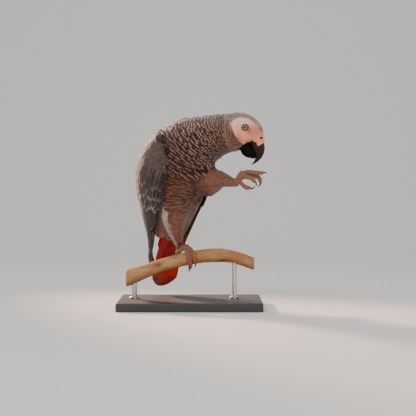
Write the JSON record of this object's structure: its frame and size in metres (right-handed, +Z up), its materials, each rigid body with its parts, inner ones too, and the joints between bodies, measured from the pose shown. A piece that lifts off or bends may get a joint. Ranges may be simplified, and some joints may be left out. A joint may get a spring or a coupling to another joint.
{
  "type": "grey parrot model",
  "caption": "Life-size grey parrot with a red tail, standing on one leg on a cut branch with the other foot lifted to its bill, on a plain display stand.",
  "frame": {"origin": "middle of the display base's underside", "axes": "+Z up, +X along the branch towards the side that the bird's head and lifted foot reach to, -Y towards the side that the breast faces"},
  "size_m": [0.2051, 0.1534, 0.2709],
  "materials": {
    "plumage": "matte feathers, warm grey with paler rims",
    "tail_red": "matte red feathers",
    "foot_skin": "dry scaly skin",
    "black_horn": "worn satin horn",
    "eye": "wet gloss",
    "bare_wood": "bare peeled branch",
    "ring_metal": "dull dark metal",
    "brushed_steel": "brushed",
    "base_board": "satin paint"
  },
  "bodies": {
    "root": {"belly": "plumage", "breast": "plumage", "neck": "plumage", "head": "plumage", "wing_coverts_left": "plumage", "wing_coverts_right": "plumage", "wing_flight_left": "plumage", "wing_flight_right": "plumage", "thigh_left": "plumage", "thigh_right": "plumage", "tail": "tail_red", "undertail": "tail_red", "shank_left": "foot_skin", "shank_right": "foot_skin", "toe_left_1": "foot_skin", "toe_left_2": "foot_skin", "toe_left_3": "foot_skin", "toe_left_4": "foot_skin", "toe_right_1": "foot_skin", "toe_right_2": "foot_skin", "toe_right_3": "foot_skin", "toe_right_4": "foot_skin", "bill_upper": "black_horn", "bill_lower": "black_horn", "claw_left_1": "black_horn", "claw_left_2": "black_horn", "claw_left_3": "black_horn", "claw_left_4": "black_horn", "claw_right_1": "black_horn", "claw_right_2": "black_horn", "claw_right_3": "black_horn", "claw_right_4": "black_horn", "eye_left": "eye", "eye_right": "eye", "perch": "bare_wood", "leg_ring": "ring_metal", "stand_rod_left": "brushed_steel", "stand_rod_right": "brushed_steel", "stand_base": "base_board"}
  },
  "joints": []
}
